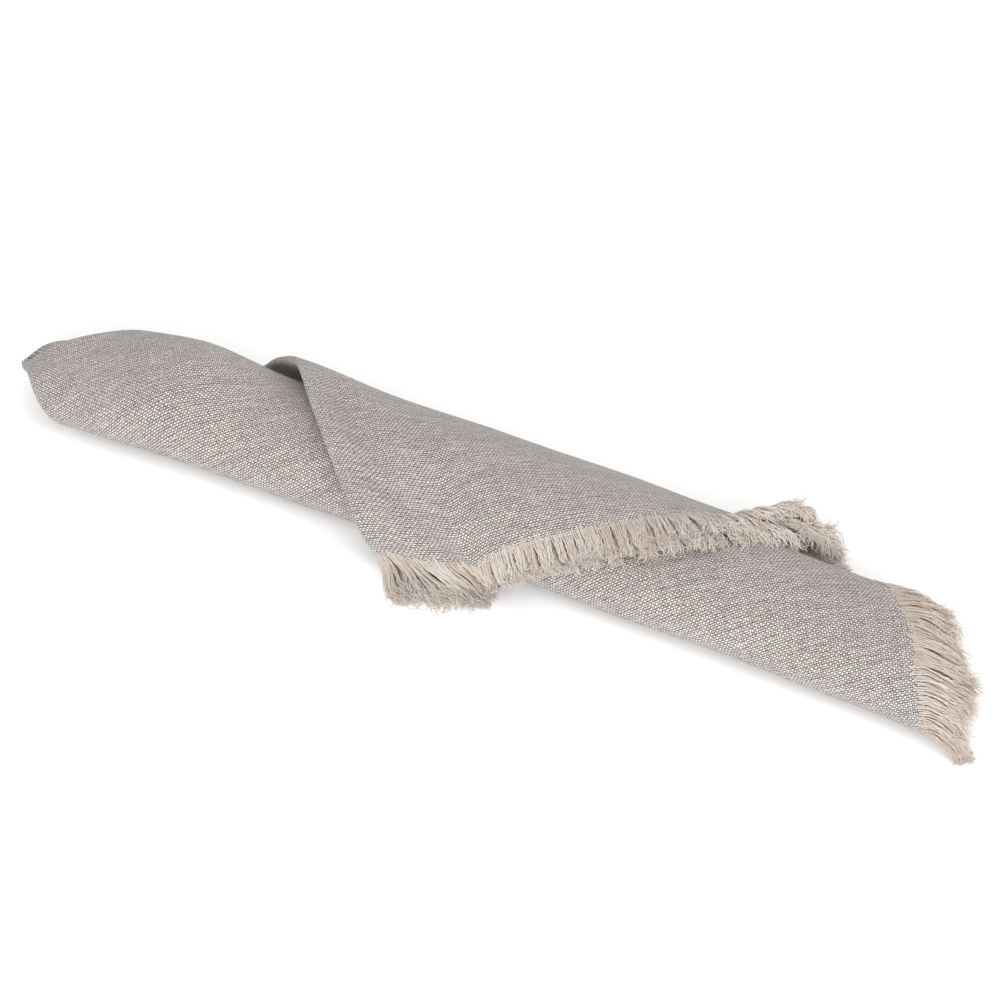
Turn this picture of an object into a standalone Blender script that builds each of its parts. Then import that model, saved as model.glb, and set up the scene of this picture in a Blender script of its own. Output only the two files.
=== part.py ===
"""Folded cloth napkin: a square of fringed plain weave, folded in four and wound slantwise into a flat roll.

Axes: X along the roll, tip of the folded corner at -X and fringed end at +X, Y to the back, Z up.
The origin is the middle of the underside of the whole napkin's box. Metres.
"""

import math

import bpy
import numpy as np

MM = 0.001

# The cloth: a quarter of the open square, and the four plies pressed together.
FOLDED_SIDE = 206.0
PLY_STACK = 2.4
FRINGE_LENGTH = 19.0
FRINGE_STACK = 1.9
FRINGE_GAP = 0.5
FOLD_ROUNDING = 1.0

# The winding: the long fringed edge of the flap lies this far off the roll's own direction.
WIND_ANGLE = math.radians(36.5)

# The long fringed edge isn't straight: near its corner it bows out, with a short bulge, and the corner
# itself hangs back. The bow fades out over the cloth behind the edge. In mm.
BOW_OUT = 6.6
BOW_START = 4.0
BOW_RISE = 26.0
BOW_FALL = 75.0
BOW_RUN = 75.0
BULGE = 2.0
BULGE_Q = 28.0
BULGE_WIDE = 6.0
CORNER_BACK = 4.0
CORNER_RUN = 14.0
BOW_FADE = 116.0

# Cross-section of each turn, from the flap inwards, for the middle of the ply stack, in mm:
# front and back faces in Y, heights of the nose, shoulder, crown and rump, and of the run below.
TURN_COLUMNS = (
    "front", "toe", "nose", "shoulder_y", "shoulder", "crown", "rump_y", "rump", "back", "heel", "base",
)
TURN_ROWS = (
    (-24.2, 0.0, 12.0, -12.5, 20.2, 23.0, 18.2, 17.4, 30.0, 3.4, 1.2),
    (-18.9, 2.6, 10.0, -12.5, 16.6, 18.3, 15.6, 15.3, 20.4, 3.2, 4.7),
    (-14.6, 0.6, 9.4, -9.6, 13.7, 14.8, 12.6, 12.9, 14.0, 2.0, 8.2),
)

# The flap meets the table in front of the first turn, and a toe leads into each turn inside it.
FLOOR_REACH = 70.0
FLOOR_SPACING = 9.0
FLOOR_POINTS = 5
FLAP_FOOT = 4.0
FLAP_INSTEP_Y = 0.5
FLAP_INSTEP = 2.0
FLAP_ON_FLOOR = 4.0
TOE_REACH = 6.0
TOE_Y = 0.8
TOE_RISE = 0.45

# Places along a turn, as shares of its width, and of its heel.
CROWN_FRONT = 0.46
CROWN_BACK = 0.70
HEEL_RUN = 1.2
RUN_BACK = 0.2
RUN_MIDDLE = 0.6
RUN_FRONT = 0.4

# The innermost corner turns back on itself at this height, this far behind the last front face, in mm.
TIP_HEIGHT = 11.3
TIP_BEND = 8.0
TIP_START = 12.0
TIP_SPACING = 6.0
TIP_POINTS = 4

# Where the cloth's own length (tau) meets the length along the section (u), in mm from the flap corner.
TOP_TAU = 65.0
TOP_U = 60.0
LOW_U = 120.0
LOW_TAU_LEFT = 144.0
LOW_TAU_RIGHT = 127.0
LEFT_END = -104.0
RIGHT_END = 160.0

# Middle of the whole napkin's box, measured from the flap corner's place, in mm.
CENTRE_X = 29.59
CENTRE_Y = -4.70

# Softness of the loose parts, in mm: the inner turns lean out to the fringed end, the flap's corner is
# skewed, its fold stands off the roll, and both ends sink towards the table.
END_LEAN = 9.0
LEAN_START = 60.0
LEAN_RUN = 105.0
LEAN_DEPTH = 32.0
CORNER_SKEW = 6.3
SKEW_U = 56.0
FLAP_LIFT = 4.5
LIFT_X = -46.0
LIFT_LONG = 30.0
LIFT_U = 54.0
LIFT_WIDE = 12.0
TIP_DROOP = 7.0
DROOP_START = -55.0
DROOP_RUN = 65.0
DROOP_POWER = 2.0
DROOP_DEPTH = 24.0
TIP_TUCK = 2.0
TUCK_START = -84.0
TUCK_RUN = 20.0
BEAK_DIP = 6.0
BEAK_REACH = 1.2
BEAK_WIDE = 5.0
SWELL = 0.34
SWELL_START = -44.0
SWELL_RUN = 30.0
SWELL_FADE = 0.45
FADE_START = -70.0
FADE_RUN = 30.0
ARCH = 0.00015
ARCH_X = 10.0
END_DROOP = 0.42
END_DROOP_START = 148.0
END_DROOP_RUN = 40.0

# Faceting.
SPLINE_STEPS = 48
EDGE_SAMPLES = 1200
LONGEST_STEP = 4.0
SHORTEST_STEP = 0.7
STEP_PER_RADIUS = 0.45
BEND_REACH = 2.0
COLUMNS = 11

# The fringes: a narrow band with tapering teeth.
TEETH = 40
TOOTH_SHARE = 0.74
BAND_WIDTH = 3.0
TOOTH_LEVELS = (0.35, 0.7, 1.0)
TOOTH_TAPER = 0.5
BAND_STEPS = 4

# Matt finishes: colour and roughness.
WOVEN_CLOTH = ((0.47, 0.42, 0.38), 0.9)
LOOSE_THREADS = ((0.62, 0.53, 0.46), 0.95)
SHEEN = 0.3


def section_controls():
    """Control points of the wound section, from the table in front of the flap to the innermost tip."""
    base = PLY_STACK / 2
    points = [(FLOOR_SPACING * k - FLOOR_REACH, base) for k in range(FLOOR_POINTS)]
    for number, values in enumerate(TURN_ROWS):
        turn = dict(zip(TURN_COLUMNS, values))
        front, back = turn["front"], turn["back"]
        if number == 0:
            points += [(front - FLAP_FOOT, base), (front - FLAP_INSTEP_Y, base + FLAP_INSTEP)]
        else:
            toe = turn["toe"]
            points += [(front + toe + TOE_REACH, base), (front + TOE_Y * toe, base + TOE_RISE * toe)]
        span = turn["rump_y"] - front
        points += [
            (front, turn["nose"]),
            (turn["shoulder_y"], turn["shoulder"]),
            (front + CROWN_FRONT * span, turn["crown"]),
            (front + CROWN_BACK * span, turn["crown"]),
            (turn["rump_y"], turn["rump"]),
        ]
        base = turn["base"]
        depth = back - front
        heel_y = back - HEEL_RUN * turn["heel"]
        points += [
            (back, base + turn["heel"]),
            (heel_y, base),
            (heel_y - RUN_BACK * depth, base),
            (front + RUN_MIDDLE * depth, base),
            (front + RUN_FRONT * depth, base),
        ]
    points += [(front + TIP_START, base), (front + TIP_BEND, base), (front + TIP_BEND, TIP_HEIGHT)]
    points += [(front + TIP_START + TIP_SPACING * k, TIP_HEIGHT) for k in range(TIP_POINTS)]
    return np.array(points)


class Section:
    """Smooth wound line of the ply stack's middle, measured from the flap corner inwards."""

    def __init__(self):
        control = section_controls()
        t = np.linspace(0.0, 1.0, SPLINE_STEPS, endpoint=False)[:, None]
        weights = (
            (1 - t) ** 3 / 6,
            (3 * t**3 - 6 * t**2 + 4) / 6,
            (-3 * t**3 + 3 * t**2 + 3 * t + 1) / 6,
            t**3 / 6,
        )
        runs = [
            sum(w * control[k + j] for j, w in enumerate(weights))
            for k in range(len(control) - 3)
        ]
        self.line = np.vstack(runs)
        steps = np.hypot(*np.diff(self.line, axis=0).T)
        length = np.concatenate(([0.0], np.cumsum(steps)))
        flap_y = TURN_ROWS[0][0] - FLAP_ON_FLOOR
        start = np.argmax(self.line[:, 0] > flap_y)
        self.u = length - length[start]
        along = np.gradient(self.line, self.u, axis=0)
        along /= np.linalg.norm(along, axis=1)[:, None]
        self.out = np.stack((-along[:, 1], along[:, 0]), 1)
        turning = np.linalg.norm(np.gradient(along, self.u, axis=0), axis=1)
        self.radius = 1.0 / np.maximum(turning, 1e-6)

    def at(self, u):
        """Middle of the stack and its outward direction at the lengths u, each as Y and Z columns."""
        middle = [np.interp(u, self.u, self.line[:, k]) for k in (0, 1)]
        out = [np.interp(u, self.u, self.out[:, k]) for k in (0, 1)]
        return middle, out

    def tightest(self, u, reach):
        """Smallest bend radius within reach of u."""
        near = np.abs(self.u - u) < reach
        return float(self.radius[near].min())


def ease(x):
    """Smooth step from 0 to 1."""
    x = np.clip(x, 0.0, 1.0)
    return x * x * (3.0 - 2.0 * x)


def bow(p, q):
    """Outward shift along p of the flap's long edge and of the cloth behind it."""
    shift = BOW_OUT * ease((q - BOW_START) / BOW_RISE) * (1.0 - ease((q - BOW_FALL) / BOW_RUN))
    shift = shift + BULGE * np.exp(-(((q - BULGE_Q) / BULGE_WIDE) ** 2))
    shift = shift - CORNER_BACK * (1.0 - ease(q / CORNER_RUN))
    return shift * ease(1.0 - (FOLDED_SIDE - p) / BOW_FADE)


def on_cloth(p, q):
    """Place of a point of the folded square on the unrolled cloth.

    p runs from the closed corner to the flap corner and q from the closed corner to the inner one.
    Returned are s along the roll and tau inwards, both from the flap corner.
    """
    p = p + bow(p, q)
    s = (p - FOLDED_SIDE) * math.sin(WIND_ANGLE) + q * math.cos(WIND_ANGLE)
    tau = (FOLDED_SIDE - p) * math.cos(WIND_ANGLE) + q * math.sin(WIND_ANGLE)
    return s, tau


def low_tau(s):
    """Cloth length at which the first turn ends below the front; the roll is slacker to the left."""
    share = np.clip((RIGHT_END - s) / (RIGHT_END - LEFT_END), 0.0, 1.0)
    return LOW_TAU_RIGHT + (LOW_TAU_LEFT - LOW_TAU_RIGHT) * share


def section_length(s, tau):
    """Length along the section for a point of the cloth; slack of the hidden back is taken up here."""
    flap = tau * (TOP_U / TOP_TAU)
    low = low_tau(s)
    share = ease((tau - TOP_TAU) / (low - TOP_TAU))
    offset = (TOP_U - TOP_TAU) + ((LOW_U - low) - (TOP_U - TOP_TAU)) * share
    return np.where(tau < TOP_TAU, flap, tau + offset)


class Roll:
    """The wound form: places points of the folded square in space."""

    def __init__(self):
        self.section = Section()

    def place(self, p, q, lift):
        """Point of the folded square at a height above its middle surface, in metres."""
        s, tau = on_cloth(p, q)
        u = section_length(s, tau)
        (y, z), (out_y, out_z) = self.section.at(u)
        inside = np.clip((u - LOW_U) / LEAN_DEPTH, 0.0, 1.0)
        lean = END_LEAN * ease((s - LEAN_START) / LEAN_RUN) * inside
        x = s + lean + CORNER_SKEW * ease(1.0 - u / SKEW_U)
        loose = FLAP_LIFT * np.exp(-(((x - LIFT_X) / LIFT_LONG) ** 2) - ((u - LIFT_U) / LIFT_WIDE) ** 2)
        off = lift + loose * np.clip(out_z, 0.0, 1.0)
        y = y + out_y * off
        z = z + out_z * off
        y = y - ARCH * (x - ARCH_X) ** 2
        swell = SWELL * ease((SWELL_START - x) / SWELL_RUN)
        z = z * (1.0 + swell * (1.0 - SWELL_FADE * ease((FADE_START - x) / FADE_RUN)))
        left = np.clip((DROOP_START - x) / DROOP_RUN, 0.0, 1.0)
        z = z - TIP_DROOP * left**DROOP_POWER * ease((u - LOW_U) / DROOP_DEPTH)
        z = z * (1.0 - END_DROOP * ease((x - END_DROOP_START) / END_DROOP_RUN))
        beak = np.exp(-(p**2 + q**2) / BEAK_WIDE**2)
        x = x + TIP_TUCK * ease((TUCK_START - x) / TUCK_RUN) - BEAK_REACH * beak
        z = z - BEAK_DIP * beak
        return np.stack((x - CENTRE_X, y - CENTRE_Y, z), -1) * MM


def edge_chain(first, second):
    """Points of two edges of the folded square, as p, q and section length, growing inwards."""
    chain = []
    for p, q in (first, second):
        s, tau = on_cloth(p, q)
        chain.append(np.stack((p, q, section_length(s, tau)), 1))
    joined = np.vstack((chain[0], chain[1][1:]))
    return joined[np.argsort(joined[:, 2], kind="stable")]


def stations(section, marks, first, last):
    """Section lengths of the mesh rows: close together where the cloth bends tightly."""
    rows = [first]
    while rows[-1] < last:
        radius = section.tightest(rows[-1] + SHORTEST_STEP, BEND_REACH)
        rows.append(rows[-1] + min(max(STEP_PER_RADIUS * radius, SHORTEST_STEP), LONGEST_STEP))
    rows = [r for r in rows[1:] if r < last - SHORTEST_STEP]
    rows = [r for r in rows if min(abs(r - m) for m in marks) > SHORTEST_STEP / 2]
    return sorted(rows + list(marks))


def make_object(name, vertices, faces, material):
    """Smooth-shaded mesh object of one sub-part."""
    mesh = bpy.data.meshes.new(name)
    mesh.from_pydata([tuple(v) for v in vertices], [], faces)
    mesh.validate()
    mesh.materials.append(material)
    for polygon in mesh.polygons:
        polygon.use_smooth = True
    made = bpy.data.objects.new(name, mesh)
    bpy.context.scene.collection.objects.link(made)
    return made


def make_material(name, colour, roughness):
    """Matt cloth finish."""
    material = bpy.data.materials.new(name)
    material.use_nodes = True
    shader = material.node_tree.nodes["Principled BSDF"]
    shader.inputs["Base Color"].default_value = (*colour, 1.0)
    shader.inputs["Roughness"].default_value = roughness
    shader.inputs["Sheen Weight"].default_value = SHEEN
    return material


def build_cloth(roll, material):
    """The folded square as one wound slab with rounded folds on its two closed edges."""
    dense = np.linspace(0.0, FOLDED_SIDE, EDGE_SAMPLES)
    none = np.zeros_like(dense)
    full = none + FOLDED_SIDE
    folds = edge_chain((dense[::-1], none), (none, dense))
    raw = edge_chain((full, dense), (dense[::-1], full))
    start = float(folds[:, 2].min())
    tip = float(folds[:, 2].max())
    corner_marks = [
        float(section_length(*on_cloth(p, q))) for p, q in ((0.0, 0.0), (FOLDED_SIDE, FOLDED_SIDE))
    ]
    rows = stations(roll.section, corner_marks, start, tip)
    vertices = []
    grid = []
    ridge = []

    def add(p, q, lift):
        vertices.append(roll.place(np.array(p), np.array(q), lift))
        return len(vertices) - 1

    half = PLY_STACK / 2
    for u, corner in [(start, (FOLDED_SIDE, 0.0))] + [(r, None) for r in rows] + [(tip, (0.0, FOLDED_SIDE))]:
        if corner is not None:
            pair = (add(*corner, half), add(*corner, -half))
            grid.append([pair] * (COLUMNS + 1))
            ridge.append(None)
            continue
        left = [float(np.interp(u, folds[:, 2], folds[:, k])) for k in (0, 1)]
        right = [float(np.interp(u, raw[:, 2], raw[:, k])) for k in (0, 1)]
        row = []
        for column in range(COLUMNS + 1):
            share = column / COLUMNS
            p = left[0] + (right[0] - left[0]) * share
            q = left[1] + (right[1] - left[1]) * share
            row.append((add(p, q, half), add(p, q, -half)))
        grid.append(row)
        shift_p = -FOLD_ROUNDING * (left[0] < FOLD_ROUNDING)
        shift_q = -FOLD_ROUNDING * (left[1] < FOLD_ROUNDING)
        ridge.append(add(left[0] + shift_p, left[1] + shift_q, 0.0))
    faces = []

    def face(*corners):
        ring = [c for k, c in enumerate(corners) if c != corners[k - 1]]
        if len(ring) > 2:
            faces.append(tuple(ring))

    for near, far in zip(range(len(grid) - 1), range(1, len(grid))):
        for column in range(COLUMNS):
            a, b = grid[near][column], grid[near][column + 1]
            c, d = grid[far][column + 1], grid[far][column]
            face(a[0], b[0], c[0], d[0])
            face(d[1], c[1], b[1], a[1])
        a, d = grid[near][COLUMNS], grid[far][COLUMNS]
        face(a[0], a[1], d[1], d[0])
        a, d = grid[near][0], grid[far][0]
        if ridge[near] is None:
            face(a[0], d[0], ridge[far])
            face(a[1], a[0], ridge[far])
            face(d[1], a[1], ridge[far])
        elif ridge[far] is None:
            face(ridge[near], a[0], d[0])
            face(ridge[near], d[0], d[1])
            face(ridge[near], d[1], a[1])
        else:
            face(a[0], d[0], ridge[far], ridge[near])
            face(ridge[near], ridge[far], d[1], a[1])
    return make_object("folded_cloth", vertices, faces, material)


def build_comb(roll, name, on_edge, material):
    """One fringe: a band along a raw edge with tapering teeth of loose threads.

    on_edge gives p and q from the place along the edge and the reach beyond it.
    """
    vertices = []

    def add(along, beyond, thickness):
        p, q = on_edge(along, beyond)
        pair = []
        for side in (0.5, -0.5):
            vertices.append(roll.place(np.array(p), np.array(q), side * thickness))
            pair.append(len(vertices) - 1)
        return pair

    pitch = FOLDED_SIDE / TEETH
    inset = pitch * (1.0 - TOOTH_SHARE) / 2
    faces = []

    def strip(a, b, c, d):
        faces.append((d[0], c[0], b[0], a[0]))
        faces.append((a[1], b[1], c[1], d[1]))

    def rim(a, b):
        faces.append((a[0], b[0], b[1], a[1]))

    band = []
    for tooth in range(TEETH):
        for share in (0.0, inset / pitch, 0.5, 1.0 - inset / pitch):
            band.append(pitch * (tooth + share))
    band.append(FOLDED_SIDE)
    root = [add(place, FRINGE_GAP, FRINGE_STACK) for place in band]
    top = [add(place, BAND_WIDTH, FRINGE_STACK) for place in band]
    for k in range(len(band) - 1):
        strip(root[k], root[k + 1], top[k + 1], top[k])
        rim(root[k], root[k + 1])
        if k % BAND_STEPS in (0, BAND_STEPS - 1):
            rim(top[k + 1], top[k])
    rim(top[0], root[0])
    rim(root[-1], top[-1])
    for tooth in range(TEETH):
        lower = [top[BAND_STEPS * tooth + k] for k in (1, 2, 3)]
        middle = pitch * (tooth + 0.5)
        for level in TOOTH_LEVELS:
            beyond = BAND_WIDTH + (FRINGE_LENGTH - BAND_WIDTH) * level
            wide = (pitch / 2 - inset) * (1.0 - TOOTH_TAPER * level)
            thick = FRINGE_STACK * (1.0 - TOOTH_TAPER * level)
            upper = [add(middle + side * wide, beyond, thick) for side in (-1, 0, 1)]
            for k in (0, 1):
                strip(lower[k], lower[k + 1], upper[k + 1], upper[k])
            rim(upper[0], lower[0])
            rim(lower[2], upper[2])
            lower = upper
        rim(lower[1], lower[0])
        rim(lower[2], lower[1])
    return make_object(name, vertices, faces, material)


def main():
    """Clear the scene and build the three sub-parts."""
    for old in list(bpy.data.objects):
        bpy.data.objects.remove(old, do_unlink=True)
    cloth = make_material("woven_cloth", *WOVEN_CLOTH)
    threads = make_material("loose_threads", *LOOSE_THREADS)
    roll = Roll()
    build_cloth(roll, cloth)
    build_comb(
        roll,
        "flap_fringe",
        lambda along, beyond: (FOLDED_SIDE + beyond, along),
        threads,
    )
    build_comb(
        roll,
        "end_fringe",
        lambda along, beyond: (FOLDED_SIDE - along, FOLDED_SIDE + beyond),
        threads,
    )


main()
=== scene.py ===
"""Folded cloth napkin with fringed edges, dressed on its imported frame.

The open square is one sheet whose flat plan runs from -half to +half in U and V. It is folded on U = 0
and then on V = 0 into four plies, and the folded square is wound slantwise into a flat roll. The cloth's
own sizes are in millimetres until RollForm.place() turns them into metres of the frame.
"""

import logging
import math
from dataclasses import dataclass, field
from enum import Enum

import bpy
import numpy as np
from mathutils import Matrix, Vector


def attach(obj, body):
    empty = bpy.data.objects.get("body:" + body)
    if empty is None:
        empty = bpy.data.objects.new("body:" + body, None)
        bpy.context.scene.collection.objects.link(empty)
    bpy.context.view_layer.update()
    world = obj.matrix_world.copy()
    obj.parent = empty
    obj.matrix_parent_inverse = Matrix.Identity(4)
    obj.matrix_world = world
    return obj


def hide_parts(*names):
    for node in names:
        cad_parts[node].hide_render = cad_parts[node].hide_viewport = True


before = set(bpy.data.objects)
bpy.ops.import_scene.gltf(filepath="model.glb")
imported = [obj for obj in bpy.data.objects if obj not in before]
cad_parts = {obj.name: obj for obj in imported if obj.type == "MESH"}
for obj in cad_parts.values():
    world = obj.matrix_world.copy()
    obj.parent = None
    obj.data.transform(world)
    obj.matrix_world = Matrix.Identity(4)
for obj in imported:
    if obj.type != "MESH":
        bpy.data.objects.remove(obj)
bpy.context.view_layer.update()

LOG = logging.getLogger("folded_napkin")
MM = 0.001
NO_LENGTH = 1e-9
SLANTED_UP = (0.3, 0.0, 1.0)
Array = np.ndarray
Socket = bpy.types.NodeSocket


class FringedEdge(Enum):
    """The two raw edges of the folded square, by the name of the solid that stands for their fringe."""

    FLAP = "flap_fringe"
    END = "end_fringe"


class Ply(Enum):
    """The four plies, by the signs of U and V on the open square."""

    OUTER = (1, 1)
    UPPER_MIDDLE = (-1, 1)
    LOWER_MIDDLE = (-1, -1)
    INNER = (1, -1)


def ease(x: Array) -> Array:
    """Smooth step from 0 to 1."""
    x = np.clip(x, 0.0, 1.0)
    return x * x * (3.0 - 2.0 * x)


def hill(x: Array, middle: float, width: float) -> Array:
    """Bell-shaped rise of height 1 round a middle."""
    return np.exp(-(((x - middle) / width) ** 2))


def outward(azimuth: float, elevation: float) -> Vector:
    """Direction from the napkin to a lamp or camera; azimuth 0 looks along +Y."""
    a, e = math.radians(azimuth), math.radians(elevation)
    return Vector((math.sin(a) * math.cos(e), -math.cos(a) * math.cos(e), math.sin(e)))


@dataclass(frozen=True)
class Turn:
    """Cross-section of one turn of the roll, for the middle of the ply stack, in mm."""

    front: float
    toe: float
    nose: float
    shoulder_y: float
    shoulder: float
    crown: float
    rump_y: float
    rump: float
    back: float
    heel: float
    base: float


def wound_turns() -> tuple[Turn, ...]:
    """The roll's turns from the flap inwards."""
    return (
        Turn(-24.2, 0.0, 12.0, -12.5, 20.2, 23.0, 18.2, 17.4, 30.0, 3.4, 1.2),
        Turn(-18.9, 2.6, 10.0, -12.5, 16.6, 18.3, 15.6, 15.3, 20.4, 3.2, 4.7),
        Turn(-14.6, 0.6, 9.4, -9.6, 13.7, 14.8, 12.6, 12.9, 14.0, 2.0, 8.2),
    )


@dataclass(frozen=True)
class Ripple:
    """One slow wave of the cloth, by its share and its spacing along the roll and round it, in mm."""

    share: float
    along: float
    around: float
    phase: float


def slight_ripples() -> tuple[Ripple, ...]:
    """The waves that make the cloth slightly uneven."""
    return (
        Ripple(1.0, 7.9, 12.1, 1.1),
        Ripple(0.8, 13.7, -6.3, 2.7),
        Ripple(0.7, 22.3, 9.4, 0.4),
    )


@dataclass
class RollForm:
    """The wound form of the folded square, with its soft troughs and ridges."""

    folded_side: float = 206.0
    stack: float = 2.4
    wind_angle: float = math.radians(36.5)
    turns: tuple[Turn, ...] = field(default_factory=wound_turns)
    centre_x: float = 29.59
    centre_y: float = -4.70
    bow_out: float = 6.6
    bow_start: float = 4.0
    bow_rise: float = 26.0
    bow_fall: float = 75.0
    bow_run: float = 75.0
    bulge: float = 2.0
    bulge_q: float = 28.0
    bulge_wide: float = 6.0
    corner_back: float = 4.0
    corner_run: float = 14.0
    bow_fade: float = 116.0
    slack: float = 3.6
    slack_q: float = 92.0
    slack_wide: float = 34.0
    floor_reach: float = 70.0
    floor_spacing: float = 9.0
    floor_points: int = 5
    flap_foot: float = 4.0
    flap_instep_y: float = 0.5
    flap_instep: float = 2.0
    flap_on_floor: float = 4.0
    toe_reach: float = 6.0
    toe_y: float = 0.8
    toe_rise: float = 0.45
    crown_front: float = 0.46
    crown_back: float = 0.70
    heel_run: float = 1.2
    run_back: float = 0.2
    run_middle: float = 0.6
    run_front: float = 0.4
    tip_height: float = 11.3
    tip_bend: float = 8.0
    tip_start: float = 12.0
    tip_spacing: float = 6.0
    tip_points: int = 4
    top_tau: float = 65.0
    top_u: float = 60.0
    low_u: float = 120.0
    low_tau_left: float = 144.0
    low_tau_right: float = 127.0
    left_end: float = -104.0
    right_end: float = 160.0
    end_lean: float = 9.0
    lean_start: float = 60.0
    lean_run: float = 105.0
    lean_depth: float = 32.0
    corner_skew: float = 6.3
    skew_u: float = 56.0
    flap_lift: float = 4.5
    lift_x: float = -46.0
    lift_long: float = 30.0
    lift_u: float = 54.0
    lift_wide: float = 12.0
    tip_droop: float = 7.0
    droop_start: float = -55.0
    droop_run: float = 65.0
    droop_power: float = 2.0
    droop_depth: float = 24.0
    tip_tuck: float = 2.0
    tuck_start: float = -84.0
    tuck_run: float = 20.0
    beak_dip: float = 5.0
    beak_reach: float = 1.7
    beak_wide: float = 6.0
    swell: float = 0.34
    swell_start: float = -44.0
    swell_run: float = 30.0
    swell_fade: float = 0.45
    fade_start: float = -70.0
    fade_run: float = 30.0
    arch: float = 0.00015
    arch_x: float = 10.0
    end_droop: float = 0.42
    end_droop_start: float = 148.0
    end_droop_run: float = 40.0
    trough_from_fold: float = 10.0
    trough_drift: float = 15.0
    trough_bend: float = 16.0
    trough_width: float = 4.2
    trough_depth: float = 2.2
    ridge_height: float = 1.2
    ridge_place: float = 2.5
    ridge_width: float = 3.6
    second_ridge: float = 12.0
    second_width: float = 7.0
    second_share: float = 0.6
    crease_from: float = -6.0
    crease_rise: float = 16.0
    crease_to: float = 44.0
    crease_fall: float = 14.0
    ripples: tuple[Ripple, ...] = field(default_factory=slight_ripples)
    ripple_height: float = 0.16
    ripple_start: float = 12.0
    spline_steps: int = 48

    def __post_init__(self) -> None:
        """Lay out the section line and its outward directions once."""
        control = self.controls()
        t = np.linspace(0.0, 1.0, self.spline_steps, endpoint=False)[:, None]
        weights = (
            (1 - t) ** 3 / 6,
            (3 * t**3 - 6 * t**2 + 4) / 6,
            (-3 * t**3 + 3 * t**2 + 3 * t + 1) / 6,
            t**3 / 6,
        )
        runs = [
            sum(w * control[k + j] for j, w in enumerate(weights))
            for k in range(len(control) - 3)
        ]
        self.line = np.vstack(runs)
        steps = np.hypot(*np.diff(self.line, axis=0).T)
        length = np.concatenate(([0.0], np.cumsum(steps)))
        start = np.argmax(self.line[:, 0] > self.turns[0].front - self.flap_on_floor)
        self.u = length - length[start]
        along = np.gradient(self.line, self.u, axis=0)
        along /= np.linalg.norm(along, axis=1)[:, None]
        self.out = np.stack((-along[:, 1], along[:, 0]), 1)

    def controls(self) -> Array:
        """Control points of the wound section, from the table in front of the flap to the innermost tip.

        Returns:
            Array of Y and Z columns in mm.
        """
        base = self.stack / 2
        points = [(self.floor_spacing * k - self.floor_reach, base) for k in range(self.floor_points)]
        for number, turn in enumerate(self.turns):
            front = turn.front
            if number == 0:
                points += [
                    (front - self.flap_foot, base),
                    (front - self.flap_instep_y, base + self.flap_instep),
                ]
            else:
                points += [
                    (front + turn.toe + self.toe_reach, base),
                    (front + self.toe_y * turn.toe, base + self.toe_rise * turn.toe),
                ]
            span = turn.rump_y - front
            points += [
                (front, turn.nose),
                (turn.shoulder_y, turn.shoulder),
                (front + self.crown_front * span, turn.crown),
                (front + self.crown_back * span, turn.crown),
                (turn.rump_y, turn.rump),
            ]
            base = turn.base
            depth = turn.back - front
            heel_y = turn.back - self.heel_run * turn.heel
            points += [
                (turn.back, base + turn.heel),
                (heel_y, base),
                (heel_y - self.run_back * depth, base),
                (front + self.run_middle * depth, base),
                (front + self.run_front * depth, base),
            ]
        points += [
            (front + self.tip_start, base),
            (front + self.tip_bend, base),
            (front + self.tip_bend, self.tip_height),
        ]
        tip_y = front + self.tip_start
        points += [(tip_y + self.tip_spacing * k, self.tip_height) for k in range(self.tip_points)]
        return np.array(points)

    def bow(self, p: Array, q: Array) -> Array:
        """Outward shift along p of the flap's long edge and of the cloth behind it.

        Args:
            p: Distance from the closed corner towards the flap corner.
            q: Distance from the closed corner towards the inner corner.

        Returns:
            The shift, in mm.
        """
        fall = 1.0 - ease((q - self.bow_fall) / self.bow_run)
        shift = self.bow_out * ease((q - self.bow_start) / self.bow_rise) * fall
        shift = shift + self.bulge * hill(q, self.bulge_q, self.bulge_wide)
        shift = shift + self.slack * hill(q, self.slack_q, self.slack_wide)
        shift = shift - self.corner_back * (1.0 - ease(q / self.corner_run))
        return shift * ease(1.0 - (self.folded_side - p) / self.bow_fade)

    def on_cloth(self, p: Array, q: Array) -> tuple[Array, Array]:
        """Place of a point of the folded square on the unrolled cloth.

        Args:
            p: Distance from the closed corner towards the flap corner.
            q: Distance from the closed corner towards the inner corner.

        Returns:
            s along the roll and tau inwards, both from the flap corner.
        """
        sine, cosine = math.sin(self.wind_angle), math.cos(self.wind_angle)
        p = p + self.bow(p, q)
        s = (p - self.folded_side) * sine + q * cosine
        tau = (self.folded_side - p) * cosine + q * sine
        return s, tau

    def section_length(self, s: Array, tau: Array) -> Array:
        """Length along the section, with the slack of the hidden back taken up.

        Args:
            s: Place along the roll.
            tau: Length of cloth from the flap corner.

        Returns:
            Length u along the section line.
        """
        share = np.clip((self.right_end - s) / (self.right_end - self.left_end), 0.0, 1.0)
        low = self.low_tau_right + (self.low_tau_left - self.low_tau_right) * share
        start = self.top_u - self.top_tau
        offset = start + ((self.low_u - low) - start) * ease((tau - self.top_tau) / (low - self.top_tau))
        return np.where(tau < self.top_tau, tau * (self.top_u / self.top_tau), tau + offset)

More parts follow.
